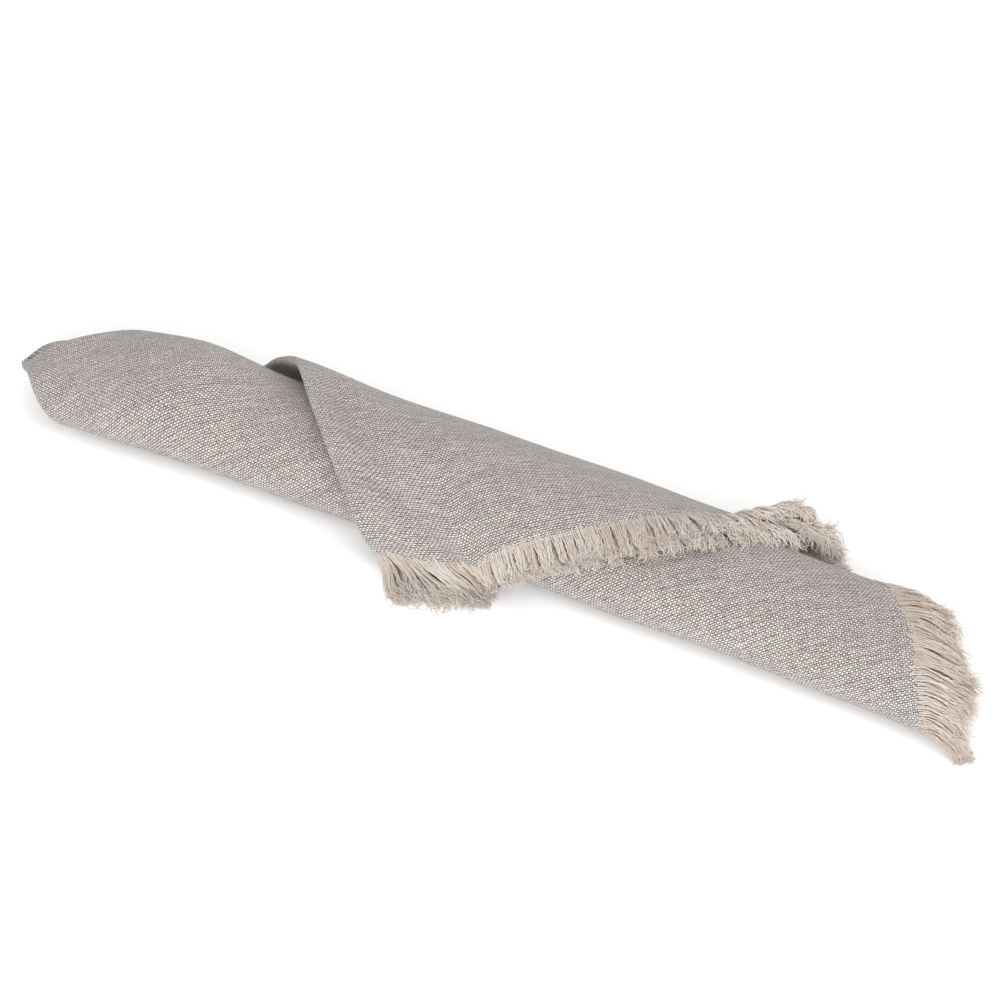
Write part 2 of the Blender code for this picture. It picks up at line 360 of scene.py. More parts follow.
    def relief(self, p: Array, q: Array, s: Array, u: Array) -> Array:
        """Troughs and ridges of the soft cloth.

        Args:
            p: Distance from the closed corner towards the flap corner.
            q: Distance from the flap's fold.
            s: Place along the roll.
            u: Length along the section.

        Returns:
            Height to add outwards, in mm.
        """
        on_flap = ease((u - self.crease_from) / self.crease_rise)
        on_flap = on_flap * (1.0 - ease((u - self.crease_to) / self.crease_fall))
        from_edge = np.clip(self.folded_side - p, 0.0, None)
        middle = self.trough_from_fold + self.trough_drift * np.exp(-from_edge / self.trough_bend)
        trough = -self.trough_depth * hill(q, middle, self.trough_width)
        ridge = self.ridge_height * hill(q, self.ridge_place, self.ridge_width)
        second = self.ridge_height * hill(q, middle + self.second_ridge, self.second_width)
        trough = (trough + ridge + self.second_share * second) * on_flap
        waves = sum(r.share * np.sin(s / r.along + u / r.around + r.phase) for r in self.ripples)
        return trough + self.ripple_height * waves * ease(u / self.ripple_start)

    def place(self, p: Array, q: Array, lift: Array) -> Array:
        """Point of the folded square at a height above its middle surface.

        Args:
            p: Distance from the closed corner towards the flap corner, in mm.
            q: Distance from the closed corner towards the inner corner, in mm.
            lift: Height above the middle of the ply stack, in mm.

        Returns:
            Points in metres of the frame, in the last axis.
        """
        s, tau = self.on_cloth(p, q)
        u = self.section_length(s, tau)
        y, z = (np.interp(u, self.u, self.line[:, k]) for k in (0, 1))
        out_y, out_z = (np.interp(u, self.u, self.out[:, k]) for k in (0, 1))
        inside = np.clip((u - self.low_u) / self.lean_depth, 0.0, 1.0)
        lean = self.end_lean * ease((s - self.lean_start) / self.lean_run) * inside
        x = s + lean + self.corner_skew * ease(1.0 - u / self.skew_u)
        loose = self.flap_lift * hill(x, self.lift_x, self.lift_long)
        loose = loose * hill(u, self.lift_u, self.lift_wide)
        off = lift + loose * np.clip(out_z, 0.0, 1.0) + self.relief(p, q, s, u)
        y = y + out_y * off
        z = z + out_z * off
        y = y - self.arch * (x - self.arch_x) ** 2
        swell = self.swell * ease((self.swell_start - x) / self.swell_run)
        z = z * (1.0 + swell * (1.0 - self.swell_fade * ease((self.fade_start - x) / self.fade_run)))
        left = np.clip((self.droop_start - x) / self.droop_run, 0.0, 1.0)
        z = z - self.tip_droop * left**self.droop_power * ease((u - self.low_u) / self.droop_depth)
        z = z * (1.0 - self.end_droop * ease((x - self.end_droop_start) / self.end_droop_run))
        beak = np.exp(-(p**2 + q**2) / self.beak_wide**2)
        x = x + self.tip_tuck * ease((self.tuck_start - x) / self.tuck_run) - self.beak_reach * beak
        z = z - self.beak_dip * beak
        return np.stack((x - self.centre_x, y - self.centre_y, z), -1) * MM


@dataclass
class NapkinFold:
    """How the open square folds twice into four plies.

    The second fold, along the flap, is nested: its two sheets turn round one line, with radii of one and
    three ply offsets. The first, at the other closed side, is paired: there the upper two plies and the
    lower two turn round a line of their own, and the lower pair slips out a little near the corner.
    """

    half_u: float = 206.0
    half_v: float = 209.4
    ply_offset: float = 0.38
    slip: float = 4.4
    slip_q: float = 7.5
    slip_long: float = 8.0
    gape: float = 0.30
    slip_reach: float = 12.0
    fold_steps: tuple[float, ...] = (0.25, 0.5, 0.75, 1.0, 1.5, 2.2, 3.0, 4.2)

    def stacked(self, u_flat: Array, v_flat: Array) -> tuple[Array, Array, Array]:
        """Place of a point of the open square in the folded stack.

        Args:
            u_flat: U on the open square, in mm.
            v_flat: V on the open square, in mm.

        Returns:
            p, q and the height above the stack's middle, in mm.
        """
        h = self.ply_offset
        u_abs = np.abs(u_flat)
        bend = math.pi * h / 2
        side = np.where(u_abs < bend, np.sin(u_flat / h), np.sign(u_flat))
        p = np.where(u_abs < bend, h * (1.0 - np.cos(u_flat / h)), h + u_abs - bend)
        radius = 2.0 * h + h * side
        v_abs = np.abs(v_flat)
        turn = math.pi * radius / 2
        in_turn = v_abs < turn
        angle = np.where(in_turn, v_flat / radius, 0.0)
        lift = np.where(in_turn, radius * np.sin(angle), np.sign(v_flat) * radius)
        q = np.where(in_turn, 3.0 * h - radius * np.cos(angle), 3.0 * h + v_abs - turn)
        inner = ease(-lift / h) * np.exp(-p / self.slip_reach) * hill(q, self.slip_q, self.slip_long)
        return p - self.slip * inner, q, lift - self.gape * inner

    def plan_lines(self, half: float, spacing: float) -> Array:
        """Grid lines of the open square along one side, close together at the fold.

        Args:
            half: Half of that side, in mm.
            spacing: Widest spacing, in mm.

        Returns:
            Sorted places from -half to half, in mm.
        """
        bend = math.pi * self.ply_offset / 2
        near = [bend * k for k in self.fold_steps]
        count = math.ceil((half - near[-1]) / spacing)
        far = np.linspace(near[-1], half, count + 1)[1:]
        one_side = np.concatenate((near, far))
        return np.concatenate((-one_side[::-1], [0.0], one_side))


def make_piece(name: str, points: Array, faces: Array, material: bpy.types.Material) -> bpy.types.Object:
    """Link a smooth-shaded mesh piece.

    Args:
        name: Name of the piece.
        points: Vertices, one row each, in metres.
        faces: Corner numbers, one row for each face.
        material: Finish of the whole piece.

    Returns:
        The linked object.
    """
    mesh = bpy.data.meshes.new(name)
    mesh.vertices.add(len(points))
    mesh.vertices.foreach_set("co", np.ascontiguousarray(points, dtype=np.float32).ravel())
    corners = faces.shape[1]
    mesh.loops.add(faces.size)
    mesh.loops.foreach_set("vertex_index", np.ascontiguousarray(faces, dtype=np.int32).ravel())
    mesh.polygons.add(len(faces))
    mesh.polygons.foreach_set("loop_start", np.arange(len(faces), dtype=np.int32) * corners)
    mesh.polygons.foreach_set("use_smooth", np.ones(len(faces), dtype=bool))
    mesh.update(calc_edges=True)
    mesh.validate()
    mesh.materials.append(material)
    piece = bpy.data.objects.new(name, mesh)
    bpy.context.scene.collection.objects.link(piece)
    return piece


@dataclass
class ShaderBench:
    """Adds shader nodes to one material and links them."""

    material: bpy.types.Material

    def __post_init__(self) -> None:
        """Start from the plain Principled shader."""
        self.material.use_nodes = True
        self.tree = self.material.node_tree
        self.shader = self.tree.nodes["Principled BSDF"]

    def put(self, value: object, socket: Socket) -> None:
        """Link a socket or set a plain value."""
        if isinstance(value, bpy.types.NodeSocket):
            self.tree.links.new(value, socket)
        else:
            socket.default_value = value

    def math(self, operation: str, *values: object, clamp: bool = False) -> Socket:
        """Math node.

        Args:
            operation: Name of the operation.
            values: Sockets or numbers for its inputs.
            clamp: Keep the result from 0 to 1.

        Returns:
            The result's socket.
        """
        node = self.tree.nodes.new("ShaderNodeMath")
        node.operation = operation
        node.use_clamp = clamp
        for value, socket in zip(values, node.inputs):
            self.put(value, socket)
        return node.outputs[0]

    def plus(self, first: object, second: object) -> Socket:
        """Sum of two values."""
        return self.math("ADD", first, second)

    def less(self, first: object, second: object) -> Socket:
        """First value less the second."""
        return self.math("SUBTRACT", first, second)

    def times(self, first: object, second: object) -> Socket:
        """Product of two values."""
        return self.math("MULTIPLY", first, second)

    def combine(self, x: object, y: object, z: object = 0.0) -> Socket:
        """Vector from three sockets or numbers."""
        node = self.tree.nodes.new("ShaderNodeCombineXYZ")
        for value, socket in zip((x, y, z), node.inputs):
            self.put(value, socket)
        return node.outputs[0]

    def noise(
        self, x: Socket, y: Socket, grain: tuple[float, float], layer: float = 0.0, detail: float = 0.0
    ) -> Socket:
        """Soft noise round one half, over two values.

        Args:
            x: First value.
            y: Second value.
            grain: Features for each unit of the two values.
            layer: Keeps one noise apart from another.
            detail: Number of finer layers.

        Returns:
            The noise's socket.
        """
        node = self.tree.nodes.new("ShaderNodeTexNoise")
        place = self.combine(self.times(x, grain[0]), self.times(y, grain[1]), layer)
        self.put(place, node.inputs["Vector"])
        node.inputs["Scale"].default_value = 1.0
        node.inputs["Detail"].default_value = detail
        return node.outputs["Fac"]

    def speckle(self, vector: Socket) -> Socket:
        """Random number from 0 to 1 for each exact vector."""
        node = self.tree.nodes.new("ShaderNodeTexWhiteNoise")
        node.noise_dimensions = "3D"
        self.put(vector, node.inputs["Vector"])
        return node.outputs["Value"]

    def span(self, value: Socket, low: float, high: float, to_low: float, to_high: float) -> Socket:
        """Value carried from one range to another, held inside it.

        Args:
            value: What is carried.
            low: Start of its own range.
            high: End of its own range.
            to_low: Start of the new range.
            to_high: End of the new range.

        Returns:
            The new value's socket.
        """
        node = self.tree.nodes.new("ShaderNodeMapRange")
        for number, socket in zip((value, low, high, to_low, to_high), node.inputs):
            self.put(number, socket)
        return node.outputs[0]

    def swing(self, noise: Socket, spread: float, ends: tuple[float, float]) -> Socket:
        """Noise carried from a stretch round one half to a range.

        Args:
            noise: What is carried.
            spread: How far from one half the stretch reaches.
            ends: What its two ends become.

        Returns:
            The new value's socket.
        """
        return self.span(noise, 0.5 - spread, 0.5 + spread, *ends)

    def blend(self, share: object, first: object, second: object) -> Socket:
        """Mix of two colours.

        Args:
            share: How much of the second, from 0 to 1.
            first: Colour or socket.
            second: Colour or socket.

        Returns:
            The mixed colour's socket.
        """
        node = self.tree.nodes.new("ShaderNodeMix")
        node.data_type = "RGBA"
        self.put(share, node.inputs[0])
        for value, number in ((first, 6), (second, 7)):
            self.put(value, node.inputs[number])
        return node.outputs[2]

    def scaled(self, colour: object, factor: Socket) -> Socket:
        """Colour made lighter or darker.

        Args:
            colour: Colour or socket.
            factor: What it is multiplied by.

        Returns:
            The new colour's socket.
        """
        node = self.tree.nodes.new("ShaderNodeVectorMath")
        node.operation = "SCALE"
        self.put(colour[:3] if isinstance(colour, tuple) else colour, node.inputs[0])
        self.put(factor, node.inputs["Scale"])
        return node.outputs[0]

    def surface(self, roughness: object, sheen: float, sheen_roughness: float, specular: float) -> None:
        """Say how the shader catches the light.

        Args:
            roughness: Number or socket.
            sheen: Strength of the fibres' soft sheen.
            sheen_roughness: How widely the sheen spreads.
            specular: Level of the plain reflection.
        """
        self.put(roughness, self.shader.inputs["Roughness"])
        self.shader.inputs["Sheen Weight"].default_value = sheen
        self.shader.inputs["Sheen Roughness"].default_value = sheen_roughness
        self.shader.inputs["Specular IOR Level"].default_value = specular

    def bump(self, height: Socket, distance: float, strength: float) -> None:
        """Give the shader a bumped normal.

        Args:
            height: Height of the surface.
            distance: Metres for one unit of height.
            strength: How strongly it shows.
        """
        node = self.tree.nodes.new("ShaderNodeBump")
        node.inputs["Strength"].default_value = strength
        node.inputs["Distance"].default_value = distance
        self.put(height, node.inputs["Height"])
        self.put(node.outputs["Normal"], self.shader.inputs["Normal"])


@dataclass(frozen=True)
class WovenFinish:
    """Plain weave of slubbed, matt yarn: greige warp and weft a little apart in tone, with painted
    highlight on the thread tops and painted shade down their sides and in the gaps between threads.
    """

    name: str = "greige_plain_weave"
    plan_map: str = "cloth_plan"
    threads_across: float = 644.0
    threads_down: float = 748.0
    warp: tuple[float, float, float, float] = (0.60, 0.555, 0.525, 1.0)
    weft: tuple[float, float, float, float] = (0.33, 0.287, 0.26, 1.0)
    # The gap colour is painted shade between the threads.
    gap: tuple[float, float, float, float] = (0.066, 0.050, 0.041, 1.0)
    warp_layer: float = 3.0
    weft_layer: float = 17.0
    sway_grain: tuple[float, float] = (0.05, 0.03)
    drift_grain: tuple[float, float] = (0.03, 0.05)
    drift_layer: float = 9.0
    wobble: float = 1.0
    stray_grain: tuple[float, float] = (5.13, 0.21)
    stray_layer: float = 40.0
    stray_spread: float = 0.3
    jitter: float = 0.38
    slub_grain: tuple[float, float] = (3.37, 0.06)
    slub_spread: float = 0.25
    slub_tone: tuple[float, float] = (-0.06, 0.06)
    width: tuple[float, float] = (0.71, 0.95)
    crimp: float = 0.42
    lot_tone: tuple[float, float] = (0.93, 1.07)
    cell_tone: tuple[float, float] = (0.80, 1.20)
    cloud_grain: tuple[float, float] = (0.02, 0.02)
    cloud_detail: float = 3.0
    cloud_spread: float = 0.2
    cloud_tone: tuple[float, float] = (0.97, 1.03)
    # How sharply and how brightly the painted highlight on the thread tops shows; the gain also sets the
    # yarn's overall lightness.
    painted_light_contrast: float = 2.0
    painted_light_gain: float = 1.29
    solid_height: float = 0.45
    top_height: float = 1.4
    gap_roughness: float = 1.0
    top_roughness: float = 0.82
    sheen: float = 0.25
    sheen_roughness: float = 0.6
    specular: float = 0.2
    thread_height: float = 0.00016

    def make(self) -> bpy.types.Material:
        """Build the material.

        Returns:
            The finished material.
        """
        bench = ShaderBench(bpy.data.materials.new(self.name))
        across, down = self.places(bench)
        warp_number = bench.math("FLOOR", across)
        weft_number = bench.math("FLOOR", down)
        warp_height, warp_tone = self.thread(bench, across, down, warp_number, self.warp_layer, 1.0)
        weft_height, weft_tone = self.thread(bench, down, across, weft_number, self.weft_layer, -1.0)
        height = bench.math("MAXIMUM", warp_height, weft_height)
        weft_on_top = bench.math("GREATER_THAN", weft_height, warp_height)
        warp = bench.scaled(self.warp, warp_tone)
        weft = bench.scaled(self.weft, weft_tone)
        yarn = bench.blend(weft_on_top, warp, weft)
        cell = bench.speckle(bench.combine(warp_number, weft_number))
        yarn = bench.scaled(yarn, bench.span(cell, 0.0, 1.0, *self.cell_tone))
        cloud = bench.noise(across, down, self.cloud_grain, detail=self.cloud_detail)
        yarn = bench.scaled(yarn, bench.swing(cloud, self.cloud_spread, self.cloud_tone))
        # Painted light: the yarn is painted lighter on the thread tops and darker down their sides, as
        # light and shade would fall on the weave.
        relief = bench.times(height, 1.0 / (1.0 + self.crimp))
        relief = bench.math("POWER", relief, self.painted_light_contrast)
        yarn = bench.scaled(yarn, bench.times(relief, self.painted_light_gain))
        # Painted shade: the low gaps between threads take a dark colour that stands for the shade there.
        solid = bench.span(height, 0.0, self.solid_height, 0.0, 1.0)
        colour = bench.blend(solid, self.gap, yarn)
        bench.put(colour, bench.shader.inputs["Base Color"])
        rough = bench.span(height, 0.0, self.top_height, self.gap_roughness, self.top_roughness)
        bench.surface(rough, self.sheen, self.sheen_roughness, self.specular)
        bench.bump(height, self.thread_height, 1.0)
        return bench.material

    def places(self, bench: ShaderBench) -> tuple[Socket, Socket]:
        """Place on the open square, counted in threads that wander a little.

        Args:
            bench: Where the nodes go.

        Returns:
            Place across the warp and down the weft.
        """
        plan = bench.tree.nodes.new("ShaderNodeUVMap")
        plan.uv_map = self.plan_map
        split = bench.tree.nodes.new("ShaderNodeSeparateXYZ")
        bench.put(plan.outputs[0], split.inputs[0])
        across = bench.times(split.outputs[0], self.threads_across)
        down = bench.times(split.outputs[1], self.threads_down)
        sway = bench.noise(across, down, self.sway_grain, detail=1.0)
        drift = bench.noise(across, down, self.drift_grain, self.drift_layer, 1.0)
        across = bench.plus(across, bench.times(bench.less(sway, 0.5), self.wobble))
        down = bench.plus(down, bench.times(bench.less(drift, 0.5), self.wobble))
        return across, down

    def thread(
        self, bench: ShaderBench, over: Socket, along: Socket, number: Socket, layer: float, side: float
    ) -> tuple[Socket, Socket]:
        """One system of threads.

        Args:
            bench: Where the nodes go.
            over: Place across the threads, in threads.
            along: Place along them, in threads.
            number: Number of the thread.
            layer: Keeps the two systems' randomness apart.
            side: 1 or -1, which crossings this system is on top of.

        Returns:
            Height of the thread, 0 in a gap, and its tone round 1.
        """
        stray = bench.noise(number, along, self.stray_grain, layer + self.stray_layer)
        middle = (0.5 - self.jitter / 2, 0.5 + self.jitter / 2)
        local = bench.less(bench.less(over, number), bench.swing(stray, self.stray_spread, middle))
        slub = bench.noise(number, along, self.slub_grain, layer)
        width = bench.swing(slub, self.slub_spread, self.width)
        reach = bench.math("DIVIDE", bench.times(local, 2.0), width)
        profile = bench.math("SUBTRACT", 1.0, bench.times(reach, reach), clamp=True)
        profile = bench.math("SQRT", profile)
        odd = bench.math("FLOORED_MODULO", number, 2.0)
        parity = bench.less(1.0, bench.times(odd, 2.0))
        wave = bench.math("SINE", bench.times(along, math.pi))
        rise = bench.times(bench.times(wave, parity), self.crimp * side)
        height = bench.plus(rise, profile)
        lot = bench.span(bench.speckle(bench.combine(number, layer)), 0.0, 1.0, *self.lot_tone)
        tone = bench.plus(lot, bench.swing(slub, self.slub_spread, self.slub_tone))
        return height, tone


@dataclass(frozen=True)
class ThreadFinish:
    """Matt, loosely twisted cream threads with random rosier tones; painted shade makes them browner and
    darker towards the root and where they lie deep in the ply stack.
    """

    name: str = "cream_loose_threads"
    pale: tuple[float, float, float, float] = (0.77, 0.715, 0.665, 1.0)
    # The rosy colour serves both the threads' own random tone and the painted shade near the root.
    rosy_tone_and_shade: tuple[float, float, float, float] = (0.56, 0.445, 0.365, 1.0)
    woven: tuple[float, float, float, float] = (0.50, 0.445, 0.405, 1.0)
    fibre_grain: tuple[float, float] = (91.0, 30.0)
    fibre_spread: float = 0.3
    tone_share: float = 0.6
    fibre_share: float = 0.3
    # Painted shade at the roots: its share on the outer ply, how far along the threads it reaches and how
    # strong it is.
    least_shade_depth: float = 0.2
    painted_shade_reach: float = 0.8
    painted_shade_share: float = 0.7
    woven_reach: float = 0.22
    woven_share: float = 0.5
    twists: float = 26.0
    # Painted shade and highlight along the twist.
    twist_shade_tone: tuple[float, float] = (0.93, 1.04)
    twist_height: float = 0.00004
    twist_strength: float = 0.6
    roughness: tuple[float, float] = (0.86, 1.0)
    sheen: float = 0.35
    sheen_roughness: float = 0.5
    specular: float = 0.2

    def make(self) -> bpy.types.Material:
        """Build the material.

        Returns:
            The finished material.
        """
        bench = ShaderBench(bpy.data.materials.new(self.name))
        tone = self.carried(bench, "thread_tone")
        reach = self.carried(bench, "thread_reach")
        depth = self.carried(bench, "thread_depth")
        fibre = bench.noise(tone, reach, self.fibre_grain)
        share = bench.plus(bench.times(tone, self.tone_share), bench.times(fibre, self.fibre_share))
        # Painted shade: the threads are painted browner and darker towards the root, more so on the lower
        # plies, where shade falls among the tufts.
        shade_near_root = bench.span(reach, 0.0, self.painted_shade_reach, self.painted_shade_share, 0.0)
        painted_root_shade = bench.times(bench.plus(depth, self.least_shade_depth), shade_near_root)
        share = bench.math("ADD", share, painted_root_shade, clamp=True)
        colour = bench.blend(share, self.pale, self.rosy_tone_and_shade)
        at_root = bench.span(reach, 0.0, self.woven_reach, self.woven_share, 0.0)
        colour = bench.blend(at_root, colour, self.woven)
        # Painted shade and highlight: the colour follows the twist's bump, darker in its grooves and
        # lighter on its crests.
        twist = bench.math("SINE", bench.times(reach, 2.0 * math.pi * self.twists))
        colour = bench.scaled(colour, bench.span(twist, -1.0, 1.0, *self.twist_shade_tone))
        bench.put(colour, bench.shader.inputs["Base Color"])
        rough = bench.swing(fibre, self.fibre_spread, self.roughness)
        bench.surface(rough, self.sheen, self.sheen_roughness, self.specular)
        bench.bump(twist, self.twist_height, self.twist_strength)
        return bench.material

    def carried(self, bench: ShaderBench, name: str) -> Socket:
        """Value that the mesh carries under a name."""
        node = bench.tree.nodes.new("ShaderNodeAttribute")
        node.attribute_name = name
        return node.outputs["Fac"]


@dataclass(frozen=True)
class TableFinish:
    """Even, pale, matt table surface."""

    name: str = "pale_table"
    colour: tuple[float, float, float, float] = (0.98, 0.98, 0.98, 1.0)
    roughness: float = 0.9
    specular: float = 0.1

    def make(self) -> bpy.types.Material:
        """Build the material.

        Returns:
            The finished material.
        """
        bench = ShaderBench(bpy.data.materials.new(self.name))
        bench.shader.inputs["Base Color"].default_value = self.colour
        bench.shader.inputs["Roughness"].default_value = self.roughness
        bench.shader.inputs["Specular IOR Level"].default_value = self.specular
        return bench.material


@dataclass
class WovenSquare:
    """The whole open square of cloth, folded and wound as one sheet."""

    form: RollForm
    fold: NapkinFold
    finish: WovenFinish
    name: str = "napkin_cloth"
    spacing: float = 1.42

    def build(self) -> bpy.types.Object:
        """Make the sheet with its flat plan kept for the weave.

        Returns:
            The sheet's object.
        """
        u_lines = self.fold.plan_lines(self.fold.half_u, self.spacing)
        v_lines = self.fold.plan_lines(self.fold.half_v, self.spacing)
        u_flat, v_flat = np.meshgrid(u_lines, v_lines, indexing="ij")
        p, q, lift = self.fold.stacked(u_flat, v_flat)
        points = self.form.place(p, q, lift).reshape(-1, 3)
        number = np.arange(u_flat.size).reshape(u_flat.shape)
        corners = (number[:-1, :-1], number[1:, :-1], number[1:, 1:], number[:-1, 1:])
        faces = np.stack(corners, -1).reshape(-1, 4)
        piece = make_piece(self.name, points, faces, self.finish.make())
        self.keep_plan(piece, u_flat.ravel(), v_flat.ravel(), faces)
        return piece

    def keep_plan(self, piece: bpy.types.Object, u_flat: Array, v_flat: Array, faces: Array) -> None:
        """Store each corner's place on the open square as a UV map.

        Args:
            piece: The sheet.
            u_flat: U of each vertex, in mm.
            v_flat: V of each vertex, in mm.
            faces: Corner numbers of its faces.
        """
        plan = np.stack((u_flat / self.fold.half_u, v_flat / self.fold.half_v), -1) / 2.0 + 0.5
        layer = piece.data.uv_layers.new(name=self.finish.plan_map)
        layer.uv.foreach_set("vector", plan[faces.ravel()].astype(np.float32).ravel())


@dataclass(frozen=True)
class Station:
    """How the loose threads lie at one place of a raw edge.

    Angles are in degrees: lean is sideways, away from the edge's first corner, and rise is off the cloth.
    Reach is a share of the full thread. Free tells how far the threads leave the wound form and hang by
    themselves, and weight how strongly they then bend down.
    """

    along: float
    lean: float
    rise: float
    reach: float
    free: float
    weight: float


def flap_stations() -> tuple[Station, ...]:
    """The flap's edge, from the corner in front over the crest and down the back."""
    return (
        Station(0.0, -4.0, 0.0, 1.16, 0.0, 0.9),
        Station(5.0, -2.0, 0.0, 1.16, 0.0, 0.9),
        Station(10.0, 24.0, 0.0, 1.10, 0.0, 0.9),
        Station(20.0, 34.0, 0.0, 0.80, 0.0, 0.9),
        Station(26.0, 24.0, 2.0, 0.58, 0.0, 0.9),
        Station(31.0, -2.0, 4.0, 0.54, 0.0, 0.9),
        Station(60.0, -2.0, 5.0, 0.64, 0.0, 0.9),
        Station(80.0, -2.0, 6.0, 0.62, 0.0, 0.9),
        Station(98.0, 14.0, 16.0, 0.74, 0.3, 0.9),
        Station(106.0, 26.0, 26.0, 0.88, 1.0, 0.95),
        Station(114.0, 36.0, 56.0, 1.10, 1.0, 0.95),
        Station(124.0, 40.0, 62.0, 1.20, 1.0, 0.95),
        Station(133.0, 40.0, 44.0, 1.0, 1.0, 0.95),
        Station(140.0, 40.0, 14.0, 0.85, 0.6, 0.9),
        Station(146.0, 20.0, 0.0, 0.6, 0.0, 0.9),
        Station(192.0, 0.0, 0.0, 0.8, 0.0, 0.9),
        Station(208.0, 0.0, 0.0, 0.36, 0.0, 0.9),
    )


def end_stations() -> tuple[Station, ...]:
    """The roll's end edge, from the corner inside the roll to the corner on the table."""
    return (
        Station(0.0, 0.0, 0.0, 0.6, 0.0, 0.8),
        Station(128.0, 0.0, 0.0, 0.8, 0.0, 0.8),
        Station(140.0, 18.0, 12.0, 0.76, 1.0, 1.0),
        Station(152.0, 23.0, 9.0, 0.80, 1.0, 1.1),
        Station(166.0, 30.0, 3.0, 0.84, 1.0, 1.1),
        Station(180.0, 26.0, 8.0, 0.92, 1.0, 0.7),
        Station(196.0, 34.0, 2.0, 0.66, 1.0, 1.0),
        Station(206.0, 26.0, 2.0, 0.54, 1.0, 1.1),
    )


@dataclass
class ThreadFringe:
    """The loose threads of two neighbouring plies along one raw edge, each parted into finer strands."""

    form: RollForm
    fold: NapkinFold
    edge: FringedEdge
    plies: tuple[Ply, Ply]
    stations: tuple[Station, ...]
    seed: int
    name: str
    first_tufts: tuple[float, ...] = ()
    length: float = 16.5
    tuft_length: float = 0.05
    thread_length: float = 0.06
    pitch: float = 0.64
    pitch_scatter: float = 0.12
    filaments: int = 4
    joints: int = 13
    sides: int = 3
    radius: float = 0.135
    taper: float = 0.5
    inset: float = 0.9
    ragged: float = 0.8
    upper_share: float = 0.84
    tuft_low: float = 2.0
    tuft_high: float = 4.2
    tuft_spare: float = 1.4
    gather: float = 0.3
    gather_reach: float = 0.4
    spread: float = 0.25
    spread_start: float = 0.5
    tuft_lean: float = 4.0
    thread_lean: float = 2.6
    strand_lean: float = 0.5
    tuft_hook: float = 60.0
    own_hook: float = 40.0
    hook_start: float = 0.60
    rise_share: float = 1.0
    rise_scatter: float = 3.0
    rise_loss: float = 0.6
    sway: float = 0.26
    sway_cycles: tuple[float, float] = (0.9, 2.2)
    crinkle: float = 0.24
    crinkle_cycles: tuple[float, float] = (2.8, 4.6)
    wave_growth: float = 0.6
    apart: float = 0.15
    parting: float = 0.38
    lay_start: float = 4.0
    lay_turn: float = 7.0
    lowest: float = -1.7
    fall_growth: float = 1.3
    rosiness: float = 0.42
    tuft_tone: float = 0.16
    thread_tone: float = 0.18
    strand_tone: float = 0.12

    def roots(self, rng: np.random.Generator) -> tuple[Array, Array, Array, Array]:
        """Where each thread leaves the weave.

        Args:
            rng: Source of the small differences.

        Returns:
            p, q, height in the stack and number of the ply, for each thread.
        """
        at_flap = self.edge is FringedEdge.FLAP
        side, edge = self.fold.half_u, self.fold.half_v
        if at_flap:
            side, edge = edge, side
        count = int(side / self.pitch)
        columns = []
        for ply in self.plies:
            along = (np.arange(count) + 0.5) * (side / count)
            along = along + rng.uniform(-self.pitch_scatter, self.pitch_scatter, count)
            raw = np.full(count, edge)
            flat = (raw, along) if at_flap else (along, raw)
            p, q, lift = self.fold.stacked(flat[0] * ply.value[0], flat[1] * ply.value[1])
            columns.append((p, q, lift, np.full(count, tuple(Ply).index(ply))))
        return tuple(np.concatenate(c) for c in zip(*columns))

    def tufts(self, along: Array, rng: np.random.Generator) -> tuple[Array, Array]:
        """Sort threads into tufts along the edge.

        Args:
            along: Place of each thread along the edge.
            rng: Source of the tufts' widths.

        Returns:
            Number of each thread's tuft and the middle of it.
        """
        enough = int(self.tuft_spare * self.fold.half_v / self.tuft_low)
        widths = rng.uniform(self.tuft_low, self.tuft_high, enough)
        start = self.first_tufts[-1] if self.first_tufts else -self.tuft_high
        bounds = np.concatenate((self.first_tufts, start + np.cumsum(widths)))
        tuft = np.searchsorted(bounds, along)
        low = np.concatenate(([0.0], bounds))[tuft]
        middle = (np.clip(low, 0.0, None) + bounds[tuft]) / 2
        return tuft, middle

    def strands(self) -> tuple[Array, Array, Array]:
        """Middle lines of all strands.

        Returns:
            Points (strand, joint, xyz) in metres, and each strand's tone and depth.
        """
        rng = np.random.default_rng(self.seed)
        p0, q0, lift0, ply = (np.repeat(values, self.filaments) for values in self.roots(rng))
        count = len(p0)
        along = q0 if self.edge is FringedEdge.FLAP else p0
        tuft, middle = self.tufts(along, rng)
        by_tuft = rng.normal(0.0, 1.0, (5, tuft.max() + 1))[:, tuft]
        by_thread = np.repeat(rng.normal(0.0, 1.0, (4, count // self.filaments)), self.filaments, axis=1)
        own = rng.normal(0.0, 1.0, (4, count))
        heading, free, weight = self.headings(along, ply, by_tuft, by_thread, own)
        t = np.linspace(0.0, 1.0, self.joints)[None, :]
        wander = self.wander(t, by_thread[3], rng, count)
        gathered = self.gather * (middle - along)[:, None] * ease(t / self.gather_reach)
        opened = self.spread * ease((t - self.spread_start) / (1.0 - self.spread_start))
        wander[:, :, 1] += gathered * (1.0 - opened)
        path = np.concatenate((np.zeros((count, 1, 3)), np.cumsum(heading, axis=1)), axis=1) + wander
        inset = self.inset + self.ragged * abs(by_thread[2])
        path[:, 0, 0] -= inset
        points = self.following(p0, q0, lift0, path)
        hanging = self.hanging(p0, q0, lift0, heading, wander, inset, weight)
        points = points + (hanging - points) * free[:, None, None]
        points[:, :, 2] = np.maximum(points[:, :, 2], self.radius * MM)
        tone = self.rosiness + self.tuft_tone * by_tuft[0]
        tone = tone + self.thread_tone * by_thread[1] + self.strand_tone * own[3]
        # The depth, by ply, is what the thread finish turns into painted shade.
        return points, np.clip(tone, 0.0, 1.0), ply / 3.0

